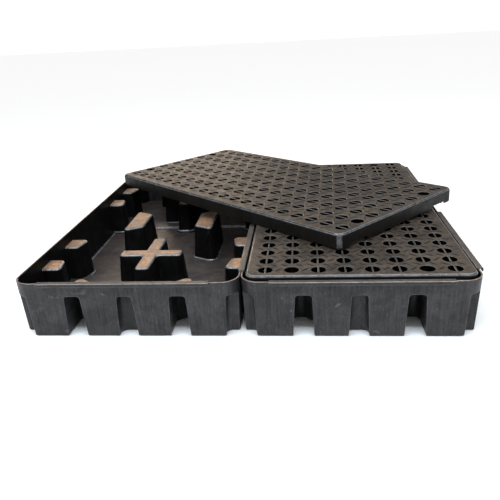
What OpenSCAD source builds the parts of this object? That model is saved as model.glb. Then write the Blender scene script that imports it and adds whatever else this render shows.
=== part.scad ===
// Spill containment work floor: two bunded trays side by side, each with a lift-out
// perforated grate, and slide-on strips that join or cap the rims.
// One grate is seated in the right tray, the other lies loose across both trays.
// The origin is on the ground, at the middle of the seam between the two trays.
// +X runs from the left tray to the right tray, -Y is the front, +Z is up.

/* [Tray] */
// Width of one tray over its rim
tray_w = 798; // [790:1:800]
// Length of one tray over its rim
tray_l = 1600; // [1590:1:1620]
// Height of the rim above the ground
rim_h = 211; // [205:1:216]
// Distance between the centres of the two trays
tray_pitch = 800; // [800:1:802]
// Wall thickness of the moulding
wall = 6; // [4:0.5:7]
// Corner radius of the rim, seen from above
rim_r = 65; // [50:1:75]
// Height of the pads and columns that carry the grate
seat_h = 166; // [160:1:168]
// Level of the sump floor between the ramps
floor_low = 12; // [10:1:14]
// Level of the sump floor at both ends
floor_high = 22; // [18:1:26]

/* [Grate] */
// Width of a grate
grate_w = 764; // [750:1:768]
// Length of a grate
grate_l = 1558; // [1540:1:1564]
// Thickness of a grate, down to the foot of its skirt
grate_t = 61; // [55:1:64]
// Diameter of the drain holes
hole_d = 51; // [40:1:54]
// Number of holes across
holes_across = 8; // [6:1:8]
// Number of holes along
holes_along = 20; // [16:1:20]
// Hole spacing across
pitch_across = 89.7; // [88:0.1:90]
// Hole spacing along
pitch_along = 77.05; // [76:0.05:77.5]
// Thickness of the bar across each hole
bar_t = 6; // [4:0.5:8]

/* [Loose grate] */
// How far the loose grate is turned, seen from above
loose_turn = 46.55; // [46:0.05:47]
// How far the loose grate leans down to the left
loose_lean = 0.95; // [0.9:0.01:1.1]
// Centre of the loose grate to the right of the seam
loose_x = 44.5; // [40:0.5:48]
// Centre of the loose grate behind the middle of the trays
loose_y = 228.4; // [225:0.1:234]

/* [Strips] */
// Length of a joining strip
strip_l = 600; // [560:1:604]
// Depth of a joining strip's legs, with its top
strip_h = 13; // [11:0.5:16]
// Thickness of a joining strip
strip_t = 3; // [2.6:0.1:3]

/* [Hidden] */

// Slopes of the moulding, in mm of inset for each mm of height
wall_draft = 0.04;
column_draft = 0.09;
pocket_draft = 0.045;

// Smallest radius that keeps every ring a proper ring, and the cutters' overrun
tiny = 0.5;
over = 1;
// Steps in a rounded corner seen from above, and in a rounded top edge
corner_steps = 2;
rim_steps = 10;
edge_steps = 2;

// Half sizes of the tray at the ground and at the rim
half_w_rim = tray_w / 2;
half_l_rim = tray_l / 2;
half_w = half_w_rim - wall_draft * rim_h;
half_l = half_l_rim - wall_draft * rim_h;
foot_r = rim_r - wall_draft * rim_h;

// Rounding of the feet, pads, columns and pockets
foot_edge_r = 8;
flare_overlap = 0.3;
pad_r = 8;
column_r = 8;
pocket_roof = seat_h - wall;

// Pockets in the end walls, measured from the middle of the tray
end_deep_near = 150;
end_deep_far = 222;
end_deep_bend = 186;
end_deep_depth = 132;
end_deep_depth_near = 104;
end_middle_half = 34.5;
end_corner_from = 346;
end_shallow_depth = 41;

// Columns on the sump floor
cross_y = 412;
cross_arm_x = 142;
cross_arm_y = 176;
cross_half = 43;
block_near = 105;
block_far = 219;
block_half_near = 98;
block_half_far = 163;

// Pockets in the side walls, on both sides of each cross column
side_near = 64;
side_far = 164;
side_depth_near = 56;
side_depth_far = 76;

// Ramps in the sump floor, and the hollow under it
ramp_y = 297;
ramp_l = 14;
hollow_half_x = 296;
hollow_half_y = 630;
hollow_r = 20;

// Grate: plate, skirt and ribs
plate_t = 5;
skirt_t = 6;
grate_r = 34;
grate_edge_r = 12;
cross_rib_t = 4;
cross_rib_h = 30;
rib_end_gap = 2;
lug_near = 222;
lug_far = 320;
lug_h = 10;
finger_columns = [1, holes_across - 2];

// The loose grate leans on the left edge of the seated one
seated_top = seat_h + grate_t;
seated_edge_x = tray_pitch / 2 - grate_w / 2 + grate_edge_r;
rest_gap = 0.3;

// Strips: outer corner radius, the play over and beside a rim, and their places
strip_corner_r = 4;
strip_play = 0.3;
leg_play = strip_play + wall_draft * strip_h;
seam_gap = tray_pitch - tray_w;
strip_w = 2 * (wall + strip_t + leg_play) + seam_gap;
rim_gap = wall + leg_play;
side_strip_y = 410;
seam_strip_y = 409;

facets = 64;

// Direction of the edge from point a to point b, of length one
function heading(a, b) = (b - a) / norm(b - a);

// A vertex of a convex outline moved in by d and rounded with radius r, as points
function round_vertex(before, at, after, d, r, steps) =
    let (
        back = heading(at, before),
        ahead = heading(at, after),
        middle = (back + ahead) / norm(back + ahead),
        half = acos(back * ahead) / 2,
        centre = at + middle * (d + r) / sin(half),
        turn = 180 - 2 * half,
        first = atan2(-middle[1], -middle[0]) - turn / 2
    )
    [for (k = [0:steps]) centre + r * [cos(first + turn * k / steps), sin(first + turn * k / steps)]];

// A counter-clockwise convex outline moved in by d and rounded with radius r, at height z
function ring(outline, d, r, z, steps) =
    let (n = len(outline))
    [
        for (i = [0:n - 1])
            for (p = round_vertex(outline[(i + n - 1) % n], outline[i], outline[(i + 1) % n], d, r, steps))
                [p[0], p[1], z]
    ];

// A solid through rings that all have the same number of points
module loft(rings) {
    n = len(rings[0]);
    points = [for (level = rings) for (p = level) p];
    bottom = [for (i = [n - 1:-1:0]) i];
    top = [for (i = [0:n - 1]) (len(rings) - 1) * n + i];
    sides = [
        for (k = [0:len(rings) - 2])
            for (i = [0:n - 1])
                [k * n + i, k * n + (i + 1) % n, (k + 1) * n + (i + 1) % n, (k + 1) * n + i]
    ];
    hull() polyhedron(points = points, faces = concat([bottom, top], sides));
}

// A tapering block on an outline, with its upright edges and its top edge rounded
module pad(outline, low, high, draft, r, grow = 0, edge = pad_r) {
    start = [ring(outline, draft * low - grow, r, low, corner_steps)];
    rounding = [
        for (k = [0:edge_steps])
            let (
                a = 90 * k / edge_steps,
                z = high - edge + edge * sin(a),
                d = edge * (1 - cos(a))
            )
            ring(outline, draft * z + d - grow, max(r - d, tiny), z, corner_steps)
    ];
    loft(concat(start, rounding));
}

// The flare that rounds the feet on both sides of a pocket, down to the ground
module pocket_flare(outline, r) {
    heights = [for (k = [0:edge_steps]) foot_edge_r * (1 - cos(90 * k / edge_steps))];
    spreads = [for (k = [0:edge_steps]) foot_edge_r * (1 - sin(90 * k / edge_steps)) - flare_overlap];
    for (k = [0:edge_steps - 1]) {
        low = k == 0 ? -over : heights[k];
        loft([
            ring(outline, pocket_draft * heights[k] - spreads[k], r, low, corner_steps),
            ring(outline, pocket_draft * heights[k + 1] - spreads[k + 1], r, heights[k + 1], corner_steps)
        ]);
    }
}

function rectangle(x0, y0, x1, y1) = [[x0, y0], [x1, y0], [x1, y1], [x0, y1]];

// An outline mirrored in X and, where asked, in Y, kept counter-clockwise
function mirrored(outline, sx, sy) =
    let (
        n = len(outline),
        moved = [for (p = outline) [p[0] * sx, p[1] * sy]]
    )
    sx * sy > 0 ? moved : [for (i = [n - 1:-1:0]) moved[i]];

// Outlines of the pockets in one quarter of the tray, at the ground
end_deep = [
    [end_deep_near, -half_l - 4 * wall],
    [end_deep_far, -half_l - 4 * wall],
    [end_deep_far, -half_l + end_deep_depth],
    [end_deep_bend, -half_l + end_deep_depth],
    [end_deep_near, -half_l + end_deep_depth_near]
];
end_corner = rectangle(end_corner_from, -half_l - 4 * wall, half_w + 8 * wall, -half_l + end_shallow_depth);
end_middle = rectangle(-end_middle_half, -half_l - 4 * wall, end_middle_half, -half_l + end_shallow_depth);
side_outer = [
    [half_w - side_depth_near, -cross_y - side_near],
    [half_w - side_depth_far, -cross_y - side_far],
    [half_w + 4 * wall, -cross_y - side_far],
    [half_w + 4 * wall, -cross_y - side_near]
];
side_inner = [
    [half_w - side_depth_far, -cross_y + side_far],
    [half_w - side_depth_near, -cross_y + side_near],
    [half_w + 4 * wall, -cross_y + side_near],
    [half_w + 4 * wall, -cross_y + side_far]
];
pockets = concat(
    [
        for (sx = [-1, 1])
            for (sy = [-1, 1])
                for (outline = [end_deep, end_corner, side_outer, side_inner])
                    mirrored(outline, sx, -sy)
    ],
    [end_middle, mirrored(end_middle, 1, -1)]
);

// The outside of the tray, a tapering box with rounded feet edges
module tray_outside() {
    outline = rectangle(-half_w, -half_l, half_w, half_l);
    foot = [
        for (k = [0:edge_steps])
            let (
                a = 90 * k / edge_steps,
                z = foot_edge_r * (1 - cos(a)),
                d = foot_edge_r * (1 - sin(a))
            )
            ring(outline, d - wall_draft * z, foot_r + wall_draft * z, z, rim_steps)
    ];
    loft(concat(foot, [ring(outline, -wall_draft * rim_h, rim_r, rim_h, rim_steps)]));
}

// The sump, open at the top, above the lower floor level
module tray_inside(inset, low) {
    outline = rectangle(-half_w_rim, -half_l_rim, half_w_rim, half_l_rim);
    top = rim_h + over;
    loft([
        ring(outline, inset + wall_draft * (rim_h - low), rim_r - inset - wall_draft * (rim_h - low), low, rim_steps),
        ring(outline, inset - wall_draft * over, rim_r - inset, top, rim_steps)
    ]);
}

// The two raised ends of the sump floor, each with its ramp
module raised_floor() {
    for (s = [-1, 1]) {
        hull() {
            translate([-half_w_rim, s > 0 ? ramp_y + ramp_l : -half_l_rim, 0])
                cube([tray_w, half_l_rim - ramp_y - ramp_l, floor_high]);
            translate([-half_w_rim, s > 0 ? ramp_y : -half_l_rim, 0])
                cube([tray_w, half_l_rim - ramp_y, floor_low]);
        }
    }
}

// A cross-shaped column, solid or, with a negative growth, its hollow
module cross_column(grow, low, high) {
    for (arm = [[cross_arm_x, cross_half], [cross_half, cross_arm_y]]) {
        outline = rectangle(-arm[0], -arm[1], arm[0], arm[1]);
        pad(outline, low, high, column_draft, column_r, grow);
    }
}

// A column with a long outer side and a short inner side
module block_column(grow, low, high) {
    outline = [
        [block_near, -block_half_near],
        [block_far, -block_half_far],
        [block_far, block_half_far],
        [block_near, block_half_near]
    ];
    pad(outline, low, high, column_draft, column_r, grow);
}

// The four columns that stand on the sump floor
module columns(grow, low, high) {
    for (s = [-1, 1]) {
        translate([0, s * cross_y, 0]) cross_column(grow, low, high);
        mirror([s > 0 ? 0 : 1, 0, 0]) block_column(grow, low, high);
    }
}

// The hollow under the sump floor, inside the ring of feet
module underside_hollow() {
    middle = rectangle(-hollow_half_x, -ramp_y, hollow_half_x, ramp_y);
    pad(middle, -over, floor_low - wall, wall_draft, hollow_r, 0, tiny);
    for (s = [-1, 1]) {
        end = mirrored(rectangle(-hollow_half_x, ramp_y + 2 * ramp_l, hollow_half_x, hollow_half_y), 1, s);
        pad(end, -over, floor_high - wall, wall_draft, hollow_r, 0, tiny);
    }
}

// One tray: a thin moulding with feet between its pockets
module tray() {
    difference() {
        intersection() {
            tray_outside();
            union() {
                difference() {
                    translate([-tray_w, -tray_l, -over]) cube([2 * tray_w, 2 * tray_l, rim_h + 2 * over]);
                    difference() {
                        tray_inside(wall, floor_low);
                        raised_floor();
                    }
                }
                for (outline = pockets) pad(outline, over, seat_h, pocket_draft, pad_r, wall);
                columns(0, over, seat_h);
            }
        }
        for (outline = pockets) {
            pad(outline, -over, pocket_roof, pocket_draft, pad_r);
            pocket_flare(outline, pad_r);
        }
        columns(-wall, -over, seat_h - wall);
        underside_hollow();
    }
}

module tray_left() {
    color("dimgray") translate([-tray_pitch / 2, 0, 0]) tray();
}

module tray_right() {
    color("dimgray") translate([tray_pitch / 2, 0, 0]) tray();
}

// A rectangle with rounded corners, centred
module round_rect(w, l, r) {
    square([w - 2 * r, l], center = true);
    square([w, l - 2 * r], center = true);
    for (sx = [-1, 1])
        for (sy = [-1, 1])
            translate([sx * (w / 2 - r), sy * (l / 2 - r)]) circle(r = r, $fn = facets);
}

module quarter_disc(r) {
    intersection() {
        circle(r = r, $fn = facets);
        square(r);
    }
}

// The rounded top edge of a grate, along one side of the given length and at one corner
module grate_edge(length, out) {
    translate([out, length / 2, 0]) rotate([90, 0, 0]) linear_extrude(length) quarter_disc(grate_edge_r);
}

module grate_corner() {
    rotate_extrude(angle = 90, $fn = facets)
        translate([grate_r - grate_edge_r, 0]) quarter_disc(grate_edge_r);
}

// The outer form of a grate, with rounded upright corners and a rounded top edge
module grate_form() {
    side = grate_t - grate_edge_r;
    linear_extrude(side) round_rect(grate_w, grate_l, grate_r);
    translate([0, 0, side])
        linear_extrude(grate_edge_r)
            round_rect(grate_w - 2 * grate_edge_r, grate_l - 2 * grate_edge_r, grate_r - grate_edge_r);
    translate([0, 0, side]) {
        for (turn = [0, 180]) {
            rotate(turn) grate_edge(grate_l - 2 * grate_r, grate_w / 2 - grate_edge_r);
            rotate(turn + 90) grate_edge(grate_w - 2 * grate_r, grate_l / 2 - grate_edge_r);
        }
        for (corner = [[1, 1, 0], [-1, 1, 90], [-1, -1, 180], [1, -1, 270]])
            translate([corner[0] * (grate_w / 2 - grate_r), corner[1] * (grate_l / 2 - grate_r), 0])
                rotate(corner[2]) grate_corner();
    }
}

function hole_x(i) = (i - (holes_across - 1) / 2) * pitch_across;
function hole_y(j) = (j - (holes_along - 1) / 2) * pitch_along;

module hole(i, j, low) {
    translate([hole_x(i), hole_y(j), low]) cylinder(d = hole_d, h = grate_t - low + over, $fn = facets);
}

// One grate, its skirt's foot at height 0
module grate() {
    inner_w = grate_w - 2 * skirt_t;
    inner_l = grate_l - 2 * skirt_t;
    difference() {
        union() {
            difference() {
                grate_form();
                translate([0, 0, -over])
                    linear_extrude(grate_t - plate_t + over) round_rect(inner_w, inner_l, grate_r - skirt_t);
                for (i = [0:holes_across - 1])
                    for (j = [0:holes_along - 1]) hole(i, j, grate_t - plate_t - over);
            }
            for (i = [0:holes_across - 1])
                translate([hole_x(i) - bar_t / 2, -inner_l / 2 - rib_end_gap, 0])
                    cube([bar_t, inner_l + 2 * rib_end_gap, grate_t]);
            for (j = [0:holes_along - 2])
                translate([-inner_w / 2 - rib_end_gap, hole_y(j + 0.5) - cross_rib_t / 2, grate_t - cross_rib_h])
                    cube([inner_w + 2 * rib_end_gap, cross_rib_t, cross_rib_h - plate_t / 2]);
        }
        for (i = finger_columns)
            for (j = [0, holes_along - 1]) hole(i, j, -over);
        for (sx = [-1, 1])
            for (sy = [-1, 1])
                translate([sx > 0 ? lug_near : -lug_far, sy * grate_l / 2 - 2 * skirt_t, -over])
                    cube([lug_far - lug_near, 4 * skirt_t, lug_h + over]);
    }
}

module grate_seated() {
    color("darkslategray") translate([tray_pitch / 2, 0, seat_h]) grate();
}

// The loose grate's underside passes just over the seated grate's left edge
module grate_loose() {
    color("slategray")
        translate([seated_edge_x, 0, seated_top + rest_gap])
            rotate([0, -loose_lean, 0])
                translate([loose_x - seated_edge_x, loose_y, 0])
                    rotate(loose_turn) grate();
}

// A strip of channel section along Y, its inner left face at X = 0 and the rim's top at Z = 0
module strip() {
    inner_w = strip_w - 2 * strip_t;
    translate([0, strip_l / 2, 0])
        rotate([90, 0, 0])
            linear_extrude(strip_l)
                difference() {
                    translate([-strip_t, strip_t + strip_play - strip_h])
                        union() {
                            square([strip_w, strip_h - strip_corner_r]);
                            translate([strip_corner_r, 0]) square([strip_w - 2 * strip_corner_r, strip_h]);
                            for (x = [strip_corner_r, strip_w - strip_corner_r])
                                translate([x, strip_h - strip_corner_r])
                                    circle(r = strip_corner_r, $fn = facets);
                        }
                    translate([0, -2 * strip_h]) square([inner_w, 2 * strip_h + strip_play]);
                }
}

// A strip over an outer side rim, its inner leg close to the rim's inner face
module side_strip(y) {
    translate([tray_pitch / 2 + half_w_rim - rim_gap, y, rim_h]) strip();
}

// A strip over a front rim
module front_strip(x) {
    translate([x, -half_l_rim + rim_gap, rim_h]) rotate(-90) strip();
}

// A strip over both rims at the seam
module seam_strip(y) {
    translate([-strip_w / 2 + strip_t, y, rim_h]) strip();
}

module strip_front_left() {
    color("gray") front_strip(-tray_pitch / 2);
}

module strip_front_right() {
    color("gray") front_strip(tray_pitch / 2);
}

module strip_right_front() {
    color("gray") side_strip(-side_strip_y);
}

module strip_right_back() {
    color("gray") side_strip(side_strip_y);
}

module strip_seam_front() {
    color("gray") seam_strip(-seam_strip_y);
}

module strip_seam_back() {
    color("gray") seam_strip(seam_strip_y);
}

tray_left();
tray_right();
grate_loose();
grate_seated();
strip_front_left();
strip_front_right();
strip_right_front();
strip_right_back();
strip_seam_front();
strip_seam_back();
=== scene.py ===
from functools import partial
import math

import bmesh
import bpy
from mathutils import Matrix, Vector
from mathutils.bvhtree import BVHTree

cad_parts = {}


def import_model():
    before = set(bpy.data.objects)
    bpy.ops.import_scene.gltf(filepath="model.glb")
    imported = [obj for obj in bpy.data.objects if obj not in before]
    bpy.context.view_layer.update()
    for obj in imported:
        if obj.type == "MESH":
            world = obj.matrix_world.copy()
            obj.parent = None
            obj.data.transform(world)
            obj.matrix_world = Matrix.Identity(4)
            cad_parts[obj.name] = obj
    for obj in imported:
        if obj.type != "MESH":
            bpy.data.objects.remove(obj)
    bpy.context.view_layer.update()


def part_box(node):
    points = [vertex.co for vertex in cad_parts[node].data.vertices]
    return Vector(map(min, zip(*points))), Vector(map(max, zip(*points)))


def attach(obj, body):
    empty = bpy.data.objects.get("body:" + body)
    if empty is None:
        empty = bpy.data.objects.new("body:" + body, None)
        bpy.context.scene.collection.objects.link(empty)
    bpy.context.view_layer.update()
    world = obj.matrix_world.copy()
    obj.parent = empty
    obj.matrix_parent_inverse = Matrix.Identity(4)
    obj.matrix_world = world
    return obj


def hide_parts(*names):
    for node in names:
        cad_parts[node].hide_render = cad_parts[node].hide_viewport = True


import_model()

MM = 0.001
COLLECTION = bpy.context.scene.collection


def box_mm(node):
    """A CAD node's lowest and highest corners, in millimetres."""
    low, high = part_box(node)
    return low / MM, high / MM


# ---------------------------------------------------------------- sizes, in millimetres

TRAY_LOW, TRAY_HIGH = box_mm("tray_left")
GRATE_LOW, GRATE_HIGH = box_mm("grate_seated")

# Tray: half sizes at the rim, height, wall and slope. The trays stand TRAY_PITCH apart
TRAY_HALF_W = (TRAY_HIGH.x - TRAY_LOW.x) / 2
TRAY_HALF_L = (TRAY_HIGH.y - TRAY_LOW.y) / 2
RIM_H = TRAY_HIGH.z
TRAY_PITCH = -(TRAY_LOW.x + TRAY_HIGH.x)
WALL = 6
DRAFT = 0.04
RIM_R = 65
SEAT_H = GRATE_LOW.z
FLOOR_LOW = 12
FLOOR_HIGH = 22
GROUND_HALF_W = TRAY_HALF_W - DRAFT * RIM_H
GROUND_HALF_L = TRAY_HALF_L - DRAFT * RIM_H

# Roundings of the tray. INNER_R is the one of every concave corner seen from above, and FLARE_TOP is
# the height where a pocket's cutter stops spreading
FOOT_EDGE_R = 8
FLARE_TOP = FOOT_EDGE_R + 1
RIM_EDGE_R = 2.6
SUMP_FILLET_R = 12
INNER_R = 9
PAD_R = 15
PAD_EDGE_R = 11
BASE_FILLET_R = 9
SMALLEST_R = 0.4

# Cutters reach this far past the faces that they open
PAST = 5

# Columns on the sump floor, and where they and the pads start: inside the floor's plastic
COLUMN_DRAFT = 0.09
COLUMN_START = 1
CROSS_BASE = FLOOR_HIGH - 3
BLOCK_BASE = FLOOR_LOW - 1
PAD_BASE = FLOOR_LOW + 5
CROSS_Y = 412
CROSS_ARM_X = 142
CROSS_ARM_Y = 176
CROSS_HALF = 43
BLOCK_NEAR = 105
BLOCK_FAR = 219
BLOCK_HALF_NEAR = 98
BLOCK_HALF_FAR = 163

# Pockets in the walls, measured from the middle of the tray along a wall and from the wall inwards.
# A deep one in an end wall has a slanted back: depths END_DEPTH_NEAR at END_NEAR, END_DEPTH from END_BEND
POCKET_DRAFT = 0.045
POCKET_ROOF = SEAT_H - WALL
OUTSIDE = 24
END_NEAR = 150
END_BEND = 186
END_FAR = 222
END_DEPTH = 132
END_DEPTH_NEAR = 104
END_MIDDLE_HALF = 34.5
END_CORNER_FROM = 346
END_SHALLOW = 41
SIDE_NEAR = 64
SIDE_FAR = 164
SIDE_DEPTH_NEAR = 56
SIDE_DEPTH_FAR = 76

# Ramps in the sump floor, spread by RAMP_SOFT at both ends, and the hollows under it
RAMP_Y = 297
RAMP_L = 10
RAMP_SOFT = 3
RAMP_STEPS = 10
SLAB_PAST = 10
HOLLOW_HALF_X = 296
HOLLOW_HALF_Y = 630
HOLLOW_R = 20
HOLLOW_EDGE_R = 1

# Grate, a hair smaller than its CAD node so that it stays in the CAD box
GRATE_INSET = 0.1
GRATE_HALF_W = (GRATE_HIGH.x - GRATE_LOW.x) / 2 - GRATE_INSET
GRATE_HALF_L = (GRATE_HIGH.y - GRATE_LOW.y) / 2 - GRATE_INSET
GRATE_T = GRATE_HIGH.z - GRATE_LOW.z
GRATE_CENTRE_X = (GRATE_LOW.x + GRATE_HIGH.x) / 2
GRATE_R = 34
GRATE_EDGE_R = 12
GRATE_EDGE_STEPS = 9
PLATE_T = 5.5
SKIRT_T = 6
SKIRT_FOOT = ((0, 1.2), (0.35, 0.35), (1.2, 0))
SKIRT_FILLET_R = 6
SKIRT_FILLET_STEPS = 3
HOLE_R = 25.5
HOLE_EDGE_R = 1.3
HOLE_EDGE_STEPS = 3
HOLE_PAST_FOOT = 2
HOLE_PAST_TOP = 3
HALF_HOLE_STEPS = 18
HOLES_ACROSS = 8
HOLES_ALONG = 20
PITCH_ACROSS = 89.7
PITCH_ALONG = 77.05
BAR_T = 6
RIB_T = 5.2
CROSS_RIB_T = 4
CROSS_RIB_H = 30
RIB_BITE = 2
LUG_NEAR = 222
LUG_FAR = 320
LUG_H = 10
FINGER_COLUMNS = (1, HOLES_ACROSS - 2)
FINGER_ROWS = (0, HOLES_ALONG - 1)

# Tread bars on the grate's top: their section as (across, up) in shares of half width and height,
# their reach (across, along) where they lie between two holes of a row and between two rows
TREAD_H = 2.2
TREAD_W = 7
TREAD_STEPS = 8
TREAD_END = 0.02
TREAD_SECTION = ((-1, -0.5), (-1, 0.0), (-0.62, 0.72), (0, 1.0), (0.62, 0.72), (1, 0.0), (1, -0.5))
TREAD_IN_ROW = (27, 26)
TREAD_BETWEEN = (26, -20)
TREAD_ASIDE = 27
GRATE_TOP = GRATE_T - TREAD_H
RIB_TOP = GRATE_TOP - 1.6
CROSS_RIB_TOP = GRATE_TOP - 2.3

# How the loose grate lies: turned, and leaning on the seated grate's left edge
LOOSE_TURN = math.radians(46.55)
LOOSE_LEAN = math.radians(-0.95)
LOOSE_X = 44.5
LOOSE_Y = 228.4
LEAN_X = GRATE_LOW.x + GRATE_EDGE_R
LEAN_Z = GRATE_HIGH.z + 0.3

# Strips
STRIP_T = 3
STRIP_CORNER_R = 4
STRIP_INNER_BEVEL = 1
STRIP_STATIONS = 25

# Steps in a rounding, and in the trays' large corners
ARC = 6
RIM_ARC = 14
FILLET_ARC = ARC + 2

# Finishing of the meshes: doubles, flat areas, sharp edges and weighted normals
MERGE = 0.003
FLAT_DEG = 1.0
SHARP_DEG = 32
NORMAL_WEIGHT = 80

# Face attributes that the materials read, and the limits for setting them
TREAD = "tread"
# The next mark is for the faces that the materials paint dark as shade
PAINTED_SHADE = "inner"
TREAD_ABOVE = 0.1
INNER_BELOW = 2.5
UPRIGHT = 0.5
RAY_START = 0.5


# ---------------------------------------------------------------- rings and lofts

def turn_at(before, at, after):
    """Headings from a corner of a counter-clockwise outline to both neighbours, and whether it is convex."""
    back = (before - at).normalized()
    ahead = (after - at).normalized()
    convex = (at - before).cross(after - at) > 0
    return back, ahead, convex


def round_corner(before, at, after, inset, radius, steps):
    """One corner of an outline moved in by inset and rounded, as 2-D points."""
    back, ahead, convex = turn_at(before, at, after)
    middle = (back + ahead).normalized()
    half = math.acos(max(-1.0, min(1.0, back.dot(ahead)))) / 2
    if convex:
        centre = at + middle * (inset + radius) / math.sin(half)
        spoke = -middle
        sweep = math.pi - 2 * half
    else:
        centre = at + middle * (radius - inset) / math.sin(half)
        spoke = -middle
        sweep = -(math.pi - 2 * half)
    first = math.atan2(spoke.y, spoke.x) - sweep / 2
    angles = [first + sweep * k / steps for k in range(steps + 1)]
    return [centre + radius * Vector((math.cos(a), math.sin(a))) for a in angles]


def ring(outline, inset, radius, z, steps=ARC):
    """An outline moved in by inset, rounded, at height z. Inner corners all have the same rounding."""
    count = len(outline)
    points = []
    for i, at in enumerate(outline):
        before = outline[i - 1]
        after = outline[(i + 1) % count]
        convex = turn_at(before, at, after)[2]
        corner_r = max(radius - inset, SMALLEST_R) if convex else INNER_R
        points += round_corner(before, at, after, inset, corner_r, steps)
    return [Vector((p.x, p.y, z)) for p in points]


def polygon(points):
    return [Vector(p) for p in points]


def rectangle(x0, y0, x1, y1):
    return polygon([(x0, y0), (x1, y0), (x1, y1), (x0, y1)])


def mirrored(outline, sx, sy):
    """An outline mirrored in X and Y, kept counter-clockwise."""
    moved = [Vector((p.x * sx, p.y * sy)) for p in outline]
    return moved if sx * sy > 0 else moved[::-1]


def quarter(radius, steps=ARC):
    """A rounded edge as pairs of (inset, height below the top), from the side to the top."""
    angles = [math.pi / 2 * k / steps for k in range(steps + 1)]
    return [(radius * (1 - math.cos(a)), radius * (1 - math.sin(a))) for a in angles]


def new_object(name, bm):
    """An object in the scene with the geometry of a bmesh, which is freed."""
    mesh = bpy.data.meshes.new(name)
    bm.to_mesh(mesh)
    bm.free()
    piece = bpy.data.objects.new(name, mesh)
    COLLECTION.objects.link(piece)
    return piece


def loft_into(bm, rings):
    """Adds the closed solid through rings that all have the same number of points."""
    rows = [[bm.verts.new(p) for p in points] for points in rings]
    count = len(rows[0])
    bm.faces.new(rows[0][::-1])
    bm.faces.new(rows[-1])
    for lower, upper in zip(rows, rows[1:]):
        for i in range(count):
            j = (i + 1) % count
            bm.faces.new((lower[i], lower[j], upper[j], upper[i]))


def solid(name, lofts):
    """A new object holding separate closed solids, one for each list of rings."""
    bm = bmesh.new()
    for rings in lofts:
        loft_into(bm, rings)
    bm.normal_update()
    bmesh.ops.triangulate(bm, faces=[f for f in bm.faces if len(f.verts) > 4])
    return new_object(name, bm)


def combine(target, operation, tools):
    """Joins, cuts or intersects target with each tool in turn, and removes the tools."""
    for tool in tools:
        step = target.modifiers.new("step", "BOOLEAN")
        step.operation = operation
        step.solver = "MANIFOLD"
        step.object = tool
    graph = bpy.context.evaluated_depsgraph_get()
    mesh = bpy.data.meshes.new_from_object(target.evaluated_get(graph))
    old = target.data
    target.modifiers.clear()
    target.data = mesh
    bpy.data.meshes.remove(old)
    for tool in tools:
        drop(tool)
    return target


def drop(piece):
    """Removes an object and its mesh."""
    mesh = piece.data
    bpy.data.objects.remove(piece)
    bpy.data.meshes.remove(mesh)


# ---------------------------------------------------------------- tray

def tray_outside():
    outline = rectangle(-GROUND_HALF_W, -GROUND_HALF_L, GROUND_HALF_W, GROUND_HALF_L)
    ground_r = RIM_R - DRAFT * RIM_H
    rings = []
    for k in range(ARC + 1):
        a = math.pi / 2 * k / ARC
        z = FOOT_EDGE_R * (1 - math.cos(a))
        inset = FOOT_EDGE_R * (1 - math.sin(a)) - DRAFT * z
        rings.append(ring(outline, inset, ground_r, z, RIM_ARC))
    for inset, below in quarter(RIM_EDGE_R):
        z = RIM_H - below
        rings.append(ring(outline, inset - DRAFT * z, ground_r, z, RIM_ARC))
    return solid("outside", [rings])


def sump_cutter():
    """The space inside the tray, down to the lower floor level, with a wide fillet at the floor."""
    outline = rectangle(-TRAY_HALF_W, -TRAY_HALF_L, TRAY_HALF_W, TRAY_HALF_L)
    rings = []
    for k in range(FILLET_ARC + 1):
        a = math.pi / 2 * k / FILLET_ARC
        z = FLOOR_LOW + SUMP_FILLET_R * (1 - math.cos(a))
        inset = WALL + DRAFT * (RIM_H - z) + SUMP_FILLET_R * (1 - math.sin(a))
        rings.append(ring(outline, inset, RIM_R, z, RIM_ARC))
    for inset, below in quarter(RIM_EDGE_R):
        z = RIM_H - below
        rings.append(ring(outline, WALL - inset + DRAFT * (RIM_H - z), RIM_R, z, RIM_ARC))
    rings.append(ring(outline, WALL - RIM_EDGE_R, RIM_R, RIM_H + PAST, RIM_ARC))
    return solid("sump", [rings])


def raised_floor(side):
    """One raised end of the sump floor, with its soft ramp, as a slab across the tray."""
    start = RAMP_Y - RAMP_SOFT
    end = TRAY_HALF_L + SLAB_PAST
    profile = [(start, 0)]
    for k in range(RAMP_STEPS + 1):
        t = k / RAMP_STEPS
        rise = t * t * (3 - 2 * t)
        y = start + (RAMP_L + 2 * RAMP_SOFT) * t
        profile.append((y, FLOOR_LOW + (FLOOR_HIGH - FLOOR_LOW) * rise))
    profile += [(end, FLOOR_HIGH), (end, 0)]
    if side < 0:
        profile = [(-y, z) for y, z in profile]
    else:
        profile = profile[::-1]
    half = TRAY_HALF_W + SLAB_PAST
    ends = [[Vector((x, y, z)) for y, z in profile] for x in (-half, half)]
    return solid("raised_floor", [ends])


def pad_rings(outline, low, high, draft, radius, grow=0, edge=PAD_EDGE_R, fillet=0, base=0):
    """A tapering block on an outline, rounded at its top edge, and with a fillet that ends at base."""
    radius += draft * SEAT_H
    rings = []
    if fillet:
        rings.append(ring(outline, draft * low - grow - fillet, radius, low))
        for k in range(ARC + 1):
            a = math.pi / 2 * k / ARC
            z = base + fillet * (1 - math.cos(a))
            rings.append(ring(outline, draft * z - grow - fillet * (1 - math.sin(a)), radius, z))
    else:
        rings.append(ring(outline, draft * low - grow, radius, low))
    for inset, below in quarter(edge):
        z = high - below
        rings.append(ring(outline, draft * z + inset - grow, radius, z))
    return rings


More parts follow.
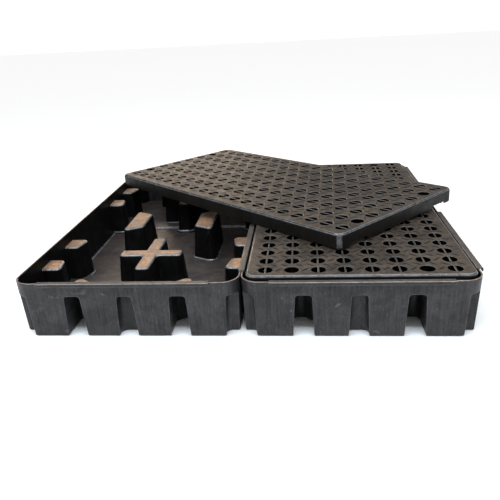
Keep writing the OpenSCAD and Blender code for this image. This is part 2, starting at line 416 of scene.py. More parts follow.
def quarter_pockets():
    """The pocket outlines in one quarter of the tray, at the ground."""
    end = -GROUND_HALF_L
    side = GROUND_HALF_W
    end_deep = polygon([
        (END_NEAR, end - OUTSIDE),
        (END_FAR, end - OUTSIDE),
        (END_FAR, end + END_DEPTH),
        (END_BEND, end + END_DEPTH),
        (END_NEAR, end + END_DEPTH_NEAR),
    ])
    end_corner = rectangle(END_CORNER_FROM, end - OUTSIDE, side + 2 * OUTSIDE, end + END_SHALLOW)
    side_outer = polygon([
        (side - SIDE_DEPTH_NEAR, -CROSS_Y - SIDE_NEAR),
        (side - SIDE_DEPTH_FAR, -CROSS_Y - SIDE_FAR),
        (side + OUTSIDE, -CROSS_Y - SIDE_FAR),
        (side + OUTSIDE, -CROSS_Y - SIDE_NEAR),
    ])
    side_inner = polygon([
        (side - SIDE_DEPTH_FAR, -CROSS_Y + SIDE_FAR),
        (side - SIDE_DEPTH_NEAR, -CROSS_Y + SIDE_NEAR),
        (side + OUTSIDE, -CROSS_Y + SIDE_NEAR),
        (side + OUTSIDE, -CROSS_Y + SIDE_FAR),
    ])
    return [end_deep, end_corner, side_outer, side_inner]


def all_pockets():
    """Every pocket outline of a tray: the four quarters, and the shallow one in the middle of each end."""
    outlines = []
    for sx in (-1, 1):
        for sy in (-1, 1):
            outlines += [mirrored(o, sx, -sy) for o in quarter_pockets()]
    end = -GROUND_HALF_L
    middle = rectangle(-END_MIDDLE_HALF, end - OUTSIDE, END_MIDDLE_HALF, end + END_SHALLOW)
    return outlines + [middle, mirrored(middle, 1, -1)]


def pocket_flare(outline):
    """The lowest part of a pocket's cutter, spreading at the ground so that the feet are rounded."""
    radius = PAD_R + POCKET_DRAFT * SEAT_H
    rings = [ring(outline, -FOOT_EDGE_R, radius, -PAST)]
    for k in range(ARC + 1):
        a = math.pi / 2 * k / ARC
        z = FOOT_EDGE_R * (1 - math.cos(a))
        rings.append(ring(outline, POCKET_DRAFT * z - FOOT_EDGE_R * (1 - math.sin(a)), radius, z))
    return rings


def pocket_cutter(outline):
    """A pocket with its spreading foot, as one solid."""
    low = pocket_flare(outline)
    high = pad_rings(outline, FLARE_TOP, POCKET_ROOF, POCKET_DRAFT, PAD_R)
    return low + high


def cross_outline(side):
    """The cross-shaped column at one end of the tray, at the ground."""
    a, b, h = CROSS_ARM_X, CROSS_ARM_Y, CROSS_HALF
    quarters = [
        [(a, -h), (a, h), (h, h)],
        [(h, b), (-h, b), (-h, h)],
        [(-a, h), (-a, -h), (-h, -h)],
        [(-h, -b), (h, -b), (h, -h)],
    ]
    y = side * CROSS_Y
    return polygon([(px, py + y) for quarter_corners in quarters for px, py in quarter_corners])


def block_outline(side):
    """The trapezoid block beside one wall of the tray, at the ground."""
    outline = polygon([
        (BLOCK_NEAR, -BLOCK_HALF_NEAR),
        (BLOCK_FAR, -BLOCK_HALF_FAR),
        (BLOCK_FAR, BLOCK_HALF_FAR),
        (BLOCK_NEAR, BLOCK_HALF_NEAR),
    ])
    return mirrored(outline, side, 1)


def raised(outline, draft, base, grow=0):
    """A pad or column that stands up from the sump floor to the grate's seat."""
    return pad_rings(outline, COLUMN_START, SEAT_H, draft, PAD_R, grow, fillet=BASE_FILLET_R, base=base)


def hollow(outline, roof, draft, radius, grow=0, edge=PAD_EDGE_R):
    """A hollow in the tray's underside, up to roof."""
    return pad_rings(outline, -PAST, roof, draft, radius, grow, edge)


def hollows_under_floor():
    """The flat hollows under the sump floor: one in the middle and one at each end."""
    middle = rectangle(-HOLLOW_HALF_X, -RAMP_Y, HOLLOW_HALF_X, RAMP_Y)
    found = [hollow(middle, FLOOR_LOW - WALL, DRAFT, HOLLOW_R, edge=HOLLOW_EDGE_R)]
    end = rectangle(-HOLLOW_HALF_X, RAMP_Y + 2 * RAMP_L, HOLLOW_HALF_X, HOLLOW_HALF_Y)
    for side in (-1, 1):
        outline = mirrored(end, 1, side)
        found.append(hollow(outline, FLOOR_HIGH - WALL, DRAFT, HOLLOW_R, edge=HOLLOW_EDGE_R))
    return found


def tray_mesh():
    """One tray, centred on the origin, as a clean closed mesh in millimetres."""
    tray = tray_outside()
    sump = combine(sump_cutter(), "DIFFERENCE", [raised_floor(-1), raised_floor(1)])
    combine(tray, "DIFFERENCE", [sump])
    pads = solid("pads", [raised(o, POCKET_DRAFT, PAD_BASE, WALL) for o in all_pockets()])
    combine(pads, "INTERSECT", [tray_outside()])
    crosses = [cross_outline(-1), cross_outline(1)]
    blocks = [block_outline(-1), block_outline(1)]
    columns = [raised(o, COLUMN_DRAFT, CROSS_BASE) for o in crosses]
    columns += [raised(o, COLUMN_DRAFT, BLOCK_BASE) for o in blocks]
    combine(tray, "UNION", [pads, solid("columns", columns)])
    pockets = solid("pockets", [pocket_cutter(o) for o in all_pockets()])
    in_columns = [hollow(o, POCKET_ROOF, COLUMN_DRAFT, PAD_R, -WALL) for o in crosses + blocks]
    under = solid("under", hollows_under_floor())
    combine(tray, "DIFFERENCE", [pockets, solid("hollows", in_columns), under])
    return tray


# ---------------------------------------------------------------- grate

def hole_x(i):
    """Where hole i of a row is. Halves are between two holes."""
    return (i - (HOLES_ACROSS - 1) / 2) * PITCH_ACROSS


def hole_y(j):
    """Where row j is. Halves are between two rows."""
    return (j - (HOLES_ALONG - 1) / 2) * PITCH_ALONG


def is_finger_hole(i, j):
    return i in FINGER_COLUMNS and j in FINGER_ROWS


def half_moon(x, y, side, grow):
    """One half of a drain hole beside its bar, grown outwards all round, as 2-D points."""
    radius = HOLE_R + grow
    chord = BAR_T / 2 - grow
    reach = math.acos(chord / radius)
    angles = [-reach + 2 * reach * k / HALF_HOLE_STEPS for k in range(HALF_HOLE_STEPS + 1)]
    points = [Vector((x + radius * math.cos(a), y + radius * math.sin(a))) for a in angles]
    if side < 0:
        points = [Vector((2 * x - p.x, p.y)) for p in points][::-1]
    return points


def full_hole(x, y, grow):
    """A hole without a bar, grown outwards all round, as 2-D points."""
    radius = HOLE_R + grow
    steps = 2 * HALF_HOLE_STEPS
    angles = [2 * math.pi * k / steps for k in range(steps)]
    return [Vector((x + radius * math.cos(a), y + radius * math.sin(a))) for a in angles]


def at_height(points, z):
    """2-D points lifted to one height."""
    return [Vector((p.x, p.y, z)) for p in points]


def hole_rings(shape):
    """A hole's cutter: straight walls, and an edge that flares out at the grate's top."""
    levels = [(GRATE_TOP - PLATE_T - HOLE_PAST_FOOT, 0)]
    for inset, below in quarter(HOLE_EDGE_R, HOLE_EDGE_STEPS):
        levels.append((GRATE_TOP - below, inset))
    levels.append((GRATE_TOP + HOLE_PAST_TOP, HOLE_EDGE_R))
    return [at_height(shape(grow), z) for z, grow in levels]


def hole_cutters():
    """The cutters of all the holes in the plate."""
    lofts = []
    for i in range(HOLES_ACROSS):
        for j in range(HOLES_ALONG):
            x, y = hole_x(i), hole_y(j)
            if is_finger_hole(i, j):
                lofts.append(hole_rings(partial(full_hole, x, y)))
                continue
            for side in (-1, 1):
                lofts.append(hole_rings(partial(half_moon, x, y, side)))
    return solid("holes", lofts)


def tread_rings(x, y, reach):
    """A raised, lens-shaped tread bar centred on (x, y), as rings across its length."""
    along = Vector(reach).normalized()
    across = Vector((-along.y, along.x))
    half = math.hypot(*reach) / 2
    rings = []
    for k in range(TREAD_STEPS + 1):
        u = -1 + 2 * k / TREAD_STEPS
        swell = max(1 - u * u, TREAD_END) ** 0.5
        centre = Vector((x, y)) + along * half * u
        points = []
        for s, h in TREAD_SECTION:
            p = centre + across * s * TREAD_W / 2 * swell
            z = GRATE_TOP + (h * TREAD_H * swell if h > 0 else h)
            points.append(Vector((p.x, p.y, z)))
        rings.append(points[::-1])
    return rings


def treads():
    """Tread bars between the holes of a row, and between the rows."""
    lofts = []
    for j in range(HOLES_ALONG):
        for i in range(HOLES_ACROSS - 1):
            lofts.append(tread_rings(hole_x(i + 0.5), hole_y(j), TREAD_IN_ROW))
    for j in range(HOLES_ALONG - 1):
        for i in range(HOLES_ACROSS):
            for side in (-1, 1):
                x = hole_x(i) + side * TREAD_ASIDE
                lofts.append(tread_rings(x, hole_y(j + 0.5), TREAD_BETWEEN))
    return solid("treads", lofts)


def grate_shell():
    """The grate's plate and skirt, without its holes."""
    outline = rectangle(-GRATE_HALF_W, -GRATE_HALF_L, GRATE_HALF_W, GRATE_HALF_L)
    rings = [ring(outline, inset, GRATE_R, z) for z, inset in SKIRT_FOOT]
    for inset, below in quarter(GRATE_EDGE_R, GRATE_EDGE_STEPS):
        rings.append(ring(outline, inset, GRATE_R, GRATE_TOP - below))
    inside = [ring(outline, SKIRT_T, GRATE_R, -PAST)]
    for k in range(SKIRT_FILLET_STEPS + 1):
        a = math.pi / 2 * k / SKIRT_FILLET_STEPS
        z = GRATE_TOP - PLATE_T - SKIRT_FILLET_R * (1 - math.sin(a))
        inside.append(ring(outline, SKIRT_T + SKIRT_FILLET_R * (1 - math.cos(a)), GRATE_R, z))
    return solid("grate", [rings]), solid("inside", [inside])


def upright(outline, low, high):
    """The two rings of a straight block on an outline."""
    return [at_height(outline, low), at_height(outline, high)]


def grate_ribs():
    """The ribs under the plate: one below each column of holes, lower ones between the rows."""
    half_w = GRATE_HALF_W - SKIRT_T + RIB_BITE
    half_l = GRATE_HALF_L - SKIRT_T + RIB_BITE
    along = []
    for i in range(HOLES_ACROSS):
        outline = rectangle(hole_x(i) - RIB_T / 2, -half_l, hole_x(i) + RIB_T / 2, half_l)
        along.append(upright(outline, 0, RIB_TOP))
    across = []
    for j in range(HOLES_ALONG - 1):
        y = hole_y(j + 0.5)
        outline = rectangle(-half_w, y - CROSS_RIB_T / 2, half_w, y + CROSS_RIB_T / 2)
        across.append(upright(outline, GRATE_TOP - CROSS_RIB_H, CROSS_RIB_TOP))
    ribs = combine(solid("ribs", along), "UNION", [solid("cross_ribs", across)])
    fingers = [
        upright(full_hole(hole_x(i), hole_y(j), 0), -PAST, GRATE_T + PAST)
        for i in FINGER_COLUMNS
        for j in FINGER_ROWS
    ]
    return combine(ribs, "DIFFERENCE", [solid("fingers", fingers)])


def lug_cutters():
    """The four shallow cut-outs in the foot of the skirt's short sides."""
    lofts = []
    for sx in (-1, 1):
        for sy in (-1, 1):
            x0, x1 = sorted((sx * LUG_NEAR, sx * LUG_FAR))
            y = sy * GRATE_HALF_L
            area = rectangle(x0, y - 2 * SKIRT_T, x1, y + 2 * SKIRT_T)
            lofts.append(upright(area, -PAST, LUG_H))
    return solid("lugs", lofts)


def grate_mesh():
    """One grate, its skirt's foot at height 0, as a clean closed mesh in millimetres."""
    grate, inside = grate_shell()
    combine(grate, "DIFFERENCE", [inside, hole_cutters()])
    combine(grate, "UNION", [grate_ribs(), treads()])
    return combine(grate, "DIFFERENCE", [lug_cutters()])


# ---------------------------------------------------------------- strips

def strip_section(width, height):
    """A channel's section as (across, up): rounded shoulders, two legs, bevelled inner corners."""
    half = width / 2
    shoulder = []
    for k in range(ARC + 1):
        a = math.pi / 2 * k / ARC
        across = half - STRIP_CORNER_R * (1 - math.cos(a))
        shoulder.append((across, height - STRIP_CORNER_R * (1 - math.sin(a))))
    far_shoulder = [(-across, up) for across, up in reversed(shoulder)]
    inner = half - STRIP_T
    top = height - STRIP_T
    bevel = STRIP_INNER_BEVEL
    channel = [(-inner, 0), (-inner, top - bevel), (-inner + bevel, top)]
    channel += [(inner - bevel, top), (inner, top - bevel), (inner, 0)]
    return [(half, 0)] + shoulder + far_shoulder + [(-half, 0)] + channel


def strip_mesh(name, node, along_y):
    """A channel strip in the box of its CAD node, in millimetres."""
    low, high = box_mm(node)
    length_axis = 1 if along_y else 0
    across_axis = 1 - length_axis
    section = strip_section(high[across_axis] - low[across_axis], high.z - low.z)
    middle_across = (high[across_axis] + low[across_axis]) / 2
    start, end = low[length_axis], high[length_axis]

    def point(s, across, up):
        xyz = [0, 0, low.z + up]
        xyz[length_axis] = s
        xyz[across_axis] = middle_across + across
        return Vector(xyz)

    bm = bmesh.new()
    rows = []
    for k in range(STRIP_STATIONS):
        s = start + (end - start) * k / (STRIP_STATIONS - 1)
        rows.append([bm.verts.new(point(s, across, up)) for across, up in section])
    count = len(section)
    for lower, upper in zip(rows, rows[1:]):
        for i in range(count):
            j = (i + 1) % count
            bm.faces.new((lower[i], lower[j], upper[j], upper[i]))
    bm.faces.new(rows[0][::-1])
    bm.faces.new(rows[-1])
    bmesh.ops.recalc_face_normals(bm, faces=bm.faces)
    return new_object(name, bm)


# ---------------------------------------------------------------- finishing a mesh

def tidy_mesh(piece):
    """Merges doubles and dissolves the seams left in flat areas."""
    bm = bmesh.new()
    bm.from_mesh(piece.data)
    bmesh.ops.remove_doubles(bm, verts=bm.verts, dist=MERGE)
    bmesh.ops.dissolve_degenerate(bm, edges=bm.edges, dist=MERGE)
    bmesh.ops.dissolve_limit(bm, angle_limit=math.radians(FLAT_DEG), verts=bm.verts, edges=bm.edges)
    bm.to_mesh(piece.data)
    bm.free()


def shade(piece):
    """Smooth shading with sharp edges by angle, and normals weighted to the large faces."""
    bm = bmesh.new()
    bm.from_mesh(piece.data)
    limit = math.radians(SHARP_DEG)
    for face in bm.faces:
        face.smooth = True
    for edge in bm.edges:
        edge.smooth = len(edge.link_faces) != 2 or edge.calc_face_angle(0) < limit
    bm.to_mesh(piece.data)
    bm.free()
    weighted = piece.modifiers.new("weighted_normals", "WEIGHTED_NORMAL")
    weighted.keep_sharp = True
    weighted.weight = NORMAL_WEIGHT


def mark_faces(piece, name, test):
    """Writes 1 on the faces that pass the test, 0 on the others, for the material to read."""
    mesh = piece.data
    mark = mesh.attributes.new(name, "FLOAT", "FACE")
    mark.data.foreach_set("value", [float(test(face)) for face in mesh.polygons])


def depth_inside(at, half_w, half_l, radius):
    """How far a point lies inside the side of a rounded rectangle about the origin, seen from above."""
    dx = abs(at.x) - (half_w - radius)
    dy = abs(at.y) - (half_l - radius)
    if dx > 0 and dy > 0:
        return radius - math.hypot(dx, dy)
    return radius - max(dx, dy)


def mark_grate(piece):
    """Marks the raised tread bars, and the faces inside the grate; the material paints both darker as shade.
    """
    def inner(face):
        at = face.center
        depth = depth_inside(at, GRATE_HALF_W, GRATE_HALF_L, GRATE_R)
        return at.z < GRATE_TOP - INNER_BELOW and depth > SKIRT_T / 2

    mark_faces(piece, TREAD, lambda face: face.center.z > GRATE_TOP + TREAD_ABOVE)
    mark_faces(piece, PAINTED_SHADE, inner)


def mark_sump(piece):
    """Marks the upright faces inside the sump, those open to the sky but not on the outside, which the
    material paints dark as shade.
    """
    tree = BVHTree.FromObject(piece, bpy.context.evaluated_depsgraph_get())
    above = Vector((0, 0, 1))

    def inner(face):
        at = face.center
        slope = DRAFT * at.z
        depth = depth_inside(at, GROUND_HALF_W + slope, GROUND_HALF_L + slope, RIM_R)
        if depth < WALL / 2 or abs(face.normal.z) > UPRIGHT:
            return False
        return tree.ray_cast(at + face.normal * RAY_START, above)[0] is None

    mark_faces(piece, PAINTED_SHADE, inner)


def placed(piece, name, matrix):
    """A copy of a millimetre mesh, moved to its place and turned into metres."""
    mesh = piece.data.copy()
    mesh.transform(Matrix.Scale(MM, 4) @ matrix)
    copy = bpy.data.objects.new(name, mesh)
    COLLECTION.objects.link(copy)
    return copy


# ---------------------------------------------------------------- materials

BLACK = (0.0, 0.0, 0.0)

# How far a normal has to lean for an upward face, a curved one, and the front face of a corner
FACES_UP = (0.75, 0.97)
CURVE_FROM = (0.2, 0.5)
CURVE_TO = (0.86, 0.97)
FACES_FRONT = (-0.985, -0.93)

# Edges: the rounding's radius in metres, and the wear, with a painted bluish highlight, and gloss on it
EDGE_R = 0.0045
BEVEL_SAMPLES = 6
NEAR_EDGE = (0.8, 0.985)
CREASE_WEAR_AND_HIGHLIGHT = 0.7
EDGE_WEAR_AND_HIGHLIGHT = (0.145, 0.148, 0.158)
EDGE_SPECULAR = 1.0
POLISH = 0.25

# The loose grate's near corner is rubbed bare and given a painted highlight: the spot and its radius, in
# metres
WORN_CORNER_HIGHLIGHT = ((0.352, -0.578, 0.256), 0.07)
NEAR_CORE = 0.6

# Dusting, partly painted light: the heights between which it goes from its low level, kept low as painted
# shade down in the sump, to its high level, which also stands for the warm light on the tops; how much the
# treads get, little so that they stay dark as painted shade; and what it does to the finish
DUST_AND_SHADE_HEIGHT = (0.05, 0.14)
DUST_ON_SHADED_TREADS = 0.15
DUST_ROUGH = 0.2

# Scratches, wear on the walls, spread of the roughness, and the painted shade on the insides of sump and
# grate: how far their colour goes to black, and how far their specular is dimmed
SCRATCH = 0.55
SCRATCH_BRIGHT = 3.0
WALL_WEAR = 0.6
ROUGH_BELOW = 0.09
ROUGH_ABOVE = 0.1
INNER_PAINTED_SHADE = 0.85
INNER_SPECULAR = 0.35

# Bumps: strength, and height in metres
SOFT_BUMP = (0.45, 0.0016)
FINE_BUMP = (0.3, 0.0005)
PIT_BUMP = (0.25, 0.0006)
SCRATCH_BUMP = (0.3, 0.0004)


class Nodes:
    """A short hand for building one material's node tree."""

    def __init__(self, name):
        self.material = bpy.data.materials.new(name)
        self.material.use_nodes = True
        self.tree = self.material.node_tree
        self.shader = self.tree.nodes["Principled BSDF"]
        self.spot = self.tree.nodes.new("ShaderNodeTexCoord").outputs["Object"]
        self.normal = self.tree.nodes.new("ShaderNodeNewGeometry").outputs["Normal"]

    def link(self, source, target):
        """Feeds a socket from another one, or sets it to a number or colour."""
        if isinstance(source, (int, float, tuple)):
            target.default_value = source
        else:
            self.tree.links.new(source, target)

    def noise(self, scale, stretch=(1, 1, 1), detail=4.0, rough=0.55, distortion=0.0):
        """A noise in the piece's own metres."""
        mapping = self.tree.nodes.new("ShaderNodeMapping")
        mapping.inputs["Scale"].default_value = stretch
        self.link(self.spot, mapping.inputs["Vector"])
        node = self.tree.nodes.new("ShaderNodeTexNoise")
        node.inputs["Scale"].default_value = scale
        node.inputs["Detail"].default_value = detail
        node.inputs["Roughness"].default_value = rough
        node.inputs["Distortion"].default_value = distortion
        self.link(mapping.outputs["Vector"], node.inputs["Vector"])
        return node.outputs["Fac"]

    def ramp(self, value, low, high, start=0.0, end=1.0):
        """value from low to high, mapped smoothly to start and end."""
        node = self.tree.nodes.new("ShaderNodeMapRange")
        node.interpolation_type = "SMOOTHSTEP"
        self.link(value, node.inputs["Value"])
        node.inputs["From Min"].default_value = low
        node.inputs["From Max"].default_value = high
        node.inputs["To Min"].default_value = start
        node.inputs["To Max"].default_value = end
        return node.outputs["Result"]

    def pattern(self, scale, between, levels=(0.0, 1.0), **noise):
        """A noise whose values between two limits are mapped smoothly to two levels."""
        return self.ramp(self.noise(scale, **noise), *between, *levels)

    def math(self, operation, a, b):
        node = self.tree.nodes.new("ShaderNodeMath")
        node.operation = operation
        self.link(a, node.inputs[0])
        self.link(b, node.inputs[1])
        return node.outputs[0]

    def mix(self, factor, a, b):
        node = self.tree.nodes.new("ShaderNodeMix")
        node.data_type = "RGBA"
        self.link(factor, node.inputs["Factor"])
        self.link(a if not isinstance(a, tuple) else (*a, 1.0), node.inputs["A"])
        self.link(b if not isinstance(b, tuple) else (*b, 1.0), node.inputs["B"])
        return node.outputs["Result"]

    def split(self, vector):
        """The X, Y and Z sockets of a vector."""
        parts = self.tree.nodes.new("ShaderNodeSeparateXYZ")
        self.link(vector, parts.inputs["Vector"])
        return parts.outputs

    def band(self, value, rise, fall):
        """1 between two smooth steps, 0 outside them."""
        return self.math("MULTIPLY", self.ramp(value, *rise), self.ramp(value, *fall, 1.0, 0.0))

    def rounded(self, radius):
        """Normals rounded over sharp edges, and how near an edge a point is."""
        bevel = self.tree.nodes.new("ShaderNodeBevel")
        bevel.samples = BEVEL_SAMPLES
        bevel.inputs["Radius"].default_value = radius
        dot = self.tree.nodes.new("ShaderNodeVectorMath")
        dot.operation = "DOT_PRODUCT"
        self.link(bevel.outputs["Normal"], dot.inputs[0])
        self.link(self.normal, dot.inputs[1])
        return bevel.outputs["Normal"], self.ramp(dot.outputs["Value"], *NEAR_EDGE, 1.0, 0.0)

    def attribute(self, name):
        """A mesh's own value for each face, 0 where the mesh has none."""
        node = self.tree.nodes.new("ShaderNodeAttribute")
        node.attribute_name = name
        return node.outputs["Fac"]

    def near(self, point, radius):
        """1 at a point, 0 farther away than radius."""
        away = self.tree.nodes.new("ShaderNodeVectorMath")
        away.operation = "DISTANCE"
        self.link(self.spot, away.inputs[0])
        away.inputs[1].default_value = point
        return self.ramp(away.outputs["Value"], radius * NEAR_CORE, radius, 1.0, 0.0)

    def bump(self, height, strength, distance, under):
        """Normals disturbed by a height, on top of the normals under it."""
        node = self.tree.nodes.new("ShaderNodeBump")
        node.inputs["Strength"].default_value = strength
        node.inputs["Distance"].default_value = distance
        self.link(height, node.inputs["Height"])
        self.link(under, node.inputs["Normal"])
        return node.outputs["Normal"]


def wall_colour(n, dark, grey, pits):
    """Streaks and blotches of grey on dark plastic."""
    mottle = n.pattern(11, (0.34, 0.66), detail=6, rough=0.66, distortion=0.5)
    streaks = n.pattern(1, (0.34, 0.68), stretch=(120, 120, 4), detail=7, rough=0.75)
    worn = n.math("MULTIPLY", n.math("ADD", mottle, streaks), n.math("MULTIPLY", pits, WALL_WEAR))
    return n.mix(worn, dark, grey)


def dust_and_top_light_cover(n, facing, plain, dust_low_in_shade, dust_high_in_light):
    """Where the dusting lies, patchy and speckled, on faces that look up: it makes them lighter and warmer,
    partly as painted top light, with less of it low down in the tray as painted shade, and hardly any on the
    treads, which stay dark as painted shade.
    """
    up = n.ramp(facing["Z"], *FACES_UP)
    height = n.ramp(n.split(n.spot)["Z"], *DUST_AND_SHADE_HEIGHT, dust_low_in_shade, dust_high_in_light)
    patches = n.pattern(6.5, (0.3, 0.7), (0.3, 1.0), detail=7, rough=0.68, distortion=1.1)
    speck = n.pattern(75, (0.36, 0.62), (0.4, 1.0), detail=5, rough=0.8)
    dust_and_light = n.math("MULTIPLY", n.math("MULTIPLY", up, patches), n.math("MULTIPLY", speck, height))
    # Treads get little of it, so they stay dark as painted shade
    return n.math("MULTIPLY", dust_and_light, n.ramp(plain, 0.0, 1.0, DUST_ON_SHADED_TREADS, 1.0))


def scratch_lines(n):
    """Fine scratches in two directions."""
    along = n.pattern(1, (0.66, 0.76), stretch=(420, 14, 24), detail=2, rough=0.5, distortion=0.3)
    across = n.pattern(1, (0.67, 0.77), stretch=(18, 380, 22), detail=2, rough=0.5, distortion=0.3)
    return n.math("MULTIPLY", n.math("MAXIMUM", along, across), SCRATCH)


def worn_and_highlit_edge(n, facing, crease, plain):
    """Where the surface is rubbed and given a painted highlight: curved shoulders, creases and one bare
    corner, but not the treads.
    """
    curved = n.band(facing["Z"], CURVE_FROM, CURVE_TO)
    front = n.ramp(facing["Y"], *FACES_FRONT, 1.0, 0.0)
    corner = n.math("MULTIPLY", front, n.near(*WORN_CORNER_HIGHLIGHT))
    edge = n.math("MAXIMUM", curved, n.math("MULTIPLY", crease, CREASE_WEAR_AND_HIGHLIGHT))
    return n.math("MULTIPLY", n.math("MAXIMUM", edge, corner), plain)


def plastic(name, dark, grey, dust_and_light_colour, dust_low_in_shade, dust_high_in_light, rough, specular):
    """Moulded black plastic: streaked walls, dusty upward faces that also carry painted top light, worn and
    glossier rounded edges with a painted highlight, and painted shade inside sump and grate and on the
    treads.
    """
    n = Nodes(name)
    facing = n.split(n.normal)
    rounded, crease = n.rounded(EDGE_R)
    plain = n.math("SUBTRACT", 1.0, n.attribute(TREAD))
    # The faces inside sump and grate that get painted shade
    inside = n.attribute(PAINTED_SHADE)
    # Where wear and a painted highlight go
    edge = worn_and_highlit_edge(n, facing, crease, plain)
    pits = n.pattern(160, (0.36, 0.64), (0.6, 1.0), detail=4, rough=0.75)
    dust_and_light = dust_and_top_light_cover(n, facing, plain, dust_low_in_shade, dust_high_in_light)
    scratches = scratch_lines(n)

    # Dusting on upward faces, partly painted light: lighter, warmer tops as painted top light, and painted
    # shade low in the sump and on the treads
    colour = n.mix(dust_and_light, wall_colour(n, dark, grey, pits), dust_and_light_colour)
    colour = n.mix(scratches, colour, tuple(SCRATCH_BRIGHT * c for c in grey))
    chips = n.pattern(38, (0.34, 0.6), (0.25, 0.85), detail=5, rough=0.7)
    # Wear with a painted bluish highlight on the rounded edges, creases and the loose grate's near corner
    colour = n.mix(n.math("MULTIPLY", edge, chips), colour, EDGE_WEAR_AND_HIGHLIGHT)
    # Painted shade: the marked faces inside sump and grate are mixed towards black
    colour = n.mix(n.math("MULTIPLY", inside, INNER_PAINTED_SHADE), colour, BLACK)
    n.link(colour, n.shader.inputs["Base Color"])

    levels = (rough - ROUGH_BELOW, rough + ROUGH_ABOVE)
    gloss = n.pattern(26, (0.3, 0.7), levels, detail=5, rough=0.65)
    dusty = n.math("ADD", gloss, n.math("MULTIPLY", dust_and_light, DUST_ROUGH))
    polished = n.math("SUBTRACT", dusty, n.math("MULTIPLY", edge, POLISH))
    n.link(polished, n.shader.inputs["Roughness"])

    soft = n.bump(n.noise(8, detail=3), *SOFT_BUMP, under=rounded)
    fine = n.bump(n.noise(520, detail=3, rough=0.7), *FINE_BUMP, under=soft)
    rubbed = n.bump(pits, *PIT_BUMP, under=fine)
    n.link(n.bump(scratches, *SCRATCH_BUMP, under=rubbed), n.shader.inputs["Normal"])

    bright = n.ramp(edge, 0.0, 1.0, specular, EDGE_SPECULAR)
    shine = n.math("MULTIPLY", bright, n.ramp(inside, 0.0, 1.0, 1.0, INNER_SPECULAR))
    n.link(shine, n.shader.inputs["Specular IOR Level"])
    return n.material


# Each plastic's dusting colour is partly painted top light, warm like that light; the tray's low level of it
# is painted shade in the sump
PLASTICS = {
    "tray_plastic": plastic(
        "tray_plastic",
        dark=(0.006, 0.0057, 0.006),
        grey=(0.046, 0.043, 0.0445),
        dust_and_light_colour=(0.46, 0.27, 0.155),
        dust_low_in_shade=0.07,
        dust_high_in_light=0.98,
        rough=0.46,
        specular=0.31,
    ),
    "grate_plastic": plastic(
        "grate_plastic",
        dark=(0.004, 0.0037, 0.0033),
        grey=(0.012, 0.0105, 0.009),
        dust_and_light_colour=(0.112, 0.085, 0.063),
        dust_low_in_shade=0.87,
        dust_high_in_light=0.87,
        rough=0.46,
        specular=0.15,
    ),
    "strip_plastic": plastic(
        "strip_plastic",
        dark=(0.012, 0.011, 0.01),
        grey=(0.035, 0.03, 0.027),
        dust_and_light_colour=(0.125, 0.092, 0.068),
        dust_low_in_shade=0.9,
        dust_high_in_light=0.9,
        rough=0.44,
        specular=0.3,
    ),
}


# ---------------------------------------------------------------- the pieces

def finish_piece(piece, body, node, slot):
    """Gives a piece its material and shading, parents it to the body it rides on, and hides the CAD node
    that it stands for.
    """
    piece.data.materials.clear()  # the Booleans leave empty slots
    piece.data.materials.append(PLASTICS[slot])
    shade(piece)
    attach(piece, body)
    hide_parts(node)


TRAYS = (("tray_left", -1), ("tray_right", 1))
SEATED = Matrix.Translation((GRATE_CENTRE_X, 0, SEAT_H))
LOOSE = (
    Matrix.Translation((LEAN_X, 0, LEAN_Z))
    @ Matrix.Rotation(LOOSE_LEAN, 4, "Y")
    @ Matrix.Translation((LOOSE_X - LEAN_X, LOOSE_Y, 0))
    @ Matrix.Rotation(LOOSE_TURN, 4, "Z")
)
GRATES = (
    ("moulded_grate_seated", "seated_grate", "grate_seated", SEATED),
    ("moulded_grate_loose", "loose_grate", "grate_loose", LOOSE),
)
STRIPS = (
    ("strip_front_left", "front_left_strip", False),
    ("strip_front_right", "front_right_strip", False),
    ("strip_right_front", "right_front_strip", True),
    ("strip_right_back", "right_back_strip", True),
    ("strip_seam_front", "trays", True),
    ("strip_seam_back", "trays", True),
)

tray_pattern = tray_mesh()
tidy_mesh(tray_pattern)
mark_sump(tray_pattern)
for node, side in TRAYS:
    shift = Matrix.Translation((side * TRAY_PITCH / 2, 0, 0))
    tray = placed(tray_pattern, "moulded_" + node, shift)
    finish_piece(tray, "trays", node, "tray_plastic")
drop(tray_pattern)

grate_pattern = grate_mesh()
tidy_mesh(grate_pattern)
mark_grate(grate_pattern)
for name, body, node, matrix in GRATES:
    finish_piece(placed(grate_pattern, name, matrix), body, node, "grate_plastic")
drop(grate_pattern)

for node, body, along_y in STRIPS:
    strip_pattern = strip_mesh("strip_pattern", node, along_y)
    strip = placed(strip_pattern, "channel_" + node, Matrix.Identity(4))
    drop(strip_pattern)
    finish_piece(strip, body, node, "strip_plastic")


# ---------------------------------------------------------------- floor, light and camera

FLOOR_HALF = 40
FLOOR_WHITE = (0.98, 0.98, 0.98, 1)
FLOOR_ROUGH = 0.9

# The sky: the strength of its brightest part, and levels by height, from the horizon to overhead
WORLD_TOP = 1.5
WORLD_LEVELS = ((0.0, 1.2), (0.06, 1.2), (0.14, 0.2), (0.5, 0.28), (0.78, 1.5))

# Area lights: name, place, aim, size, watts and colour
LIGHTS = (
    ("back_left", (-1.3, 4.0, 1.35), (-0.3, 0.4, 0.25), (2.0, 0.7), 42, (1.0, 0.8, 0.6)),
    ("front_top", (-0.2, -2.0, 2.9), (-0.1, -0.5, 0.2), (4.6, 0.3), 100, (0.8, 0.9, 1.0)),
)

# The camera that was fitted to the photograph's lines: millimetres, place in metres, and axes
SENSOR = 36
LENS = 39.73
EYE = (0.21918, -2.4432, 0.99072)
EYE_RIGHT = (0.99508697, 0.08570767, -0.04955919)
EYE_UP = (0.01374583, 0.37612358, 0.92646754)
EYE_BACK = (0.09804576, -0.92259701, 0.37309755)


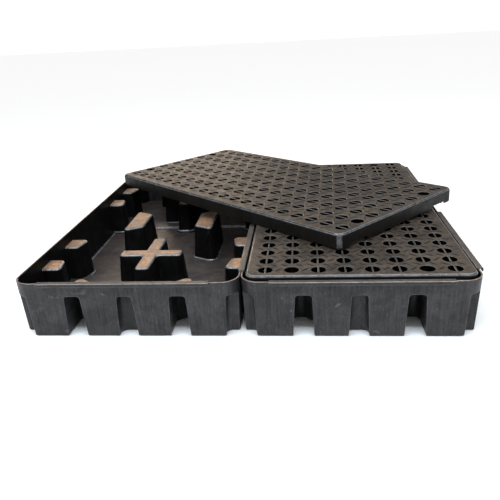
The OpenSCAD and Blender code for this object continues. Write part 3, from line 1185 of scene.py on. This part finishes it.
def floor():
    """A large plain floor."""
    bm = bmesh.new()
    bmesh.ops.create_grid(bm, x_segments=1, y_segments=1, size=FLOOR_HALF)
    piece = new_object("floor", bm)
    material = bpy.data.materials.new("floor_white")
    material.use_nodes = True
    shader = material.node_tree.nodes["Principled BSDF"]
    shader.inputs["Base Color"].default_value = FLOOR_WHITE
    shader.inputs["Roughness"].default_value = FLOOR_ROUGH
    piece.data.materials.append(material)


def area_light(name, at, aim, size, power, colour):
    """A rectangular lamp that looks at a point."""
    data = bpy.data.lights.new(name, "AREA")
    data.shape = "RECTANGLE"
    data.size, data.size_y = size
    data.energy = power
    data.color = colour
    lamp = bpy.data.objects.new(name, data)
    COLLECTION.objects.link(lamp)
    lamp.location = at
    lamp.rotation_euler = (Vector(aim) - Vector(at)).to_track_quat("-Z", "Y").to_euler()


def world():
    """A studio: bright at the horizon and overhead, dim in between, so that dark tops stay dark."""
    made = bpy.data.worlds.new("studio")
    made.use_nodes = True
    tree = made.node_tree
    coords = tree.nodes.new("ShaderNodeTexCoord")
    parts = tree.nodes.new("ShaderNodeSeparateXYZ")
    tree.links.new(coords.outputs["Generated"], parts.inputs["Vector"])
    curve = tree.nodes.new("ShaderNodeValToRGB")
    tree.links.new(parts.outputs["Z"], curve.inputs["Fac"])
    ramp = curve.color_ramp
    ramp.interpolation = "EASE"
    stops = [(at, level / WORLD_TOP) for at, level in WORLD_LEVELS]
    ramp.elements[0].position, first = stops[0]
    ramp.elements[0].color = (first, first, first, 1)
    ramp.elements[1].position, last = stops[-1]
    ramp.elements[1].color = (last, last, last, 1)
    for at, level in stops[1:-1]:
        ramp.elements.new(at).color = (level, level, level, 1)
    background = tree.nodes["Background"]
    tree.links.new(curve.outputs["Color"], background.inputs["Color"])
    background.inputs["Strength"].default_value = WORLD_TOP
    bpy.context.scene.world = made


def camera():
    """The camera at the photograph's viewing angle."""
    data = bpy.data.cameras.new("camera")
    data.sensor_width = SENSOR
    data.lens = LENS
    eye = bpy.data.objects.new("camera", data)
    COLLECTION.objects.link(eye)
    turn = Matrix((EYE_RIGHT, EYE_UP, EYE_BACK)).transposed()
    eye.matrix_world = Matrix.Translation(EYE) @ turn.to_4x4()
    bpy.context.scene.camera = eye


floor()
world()
for light in LIGHTS:
    area_light(*light)
camera()
bpy.context.scene.view_settings.view_transform = "Standard"
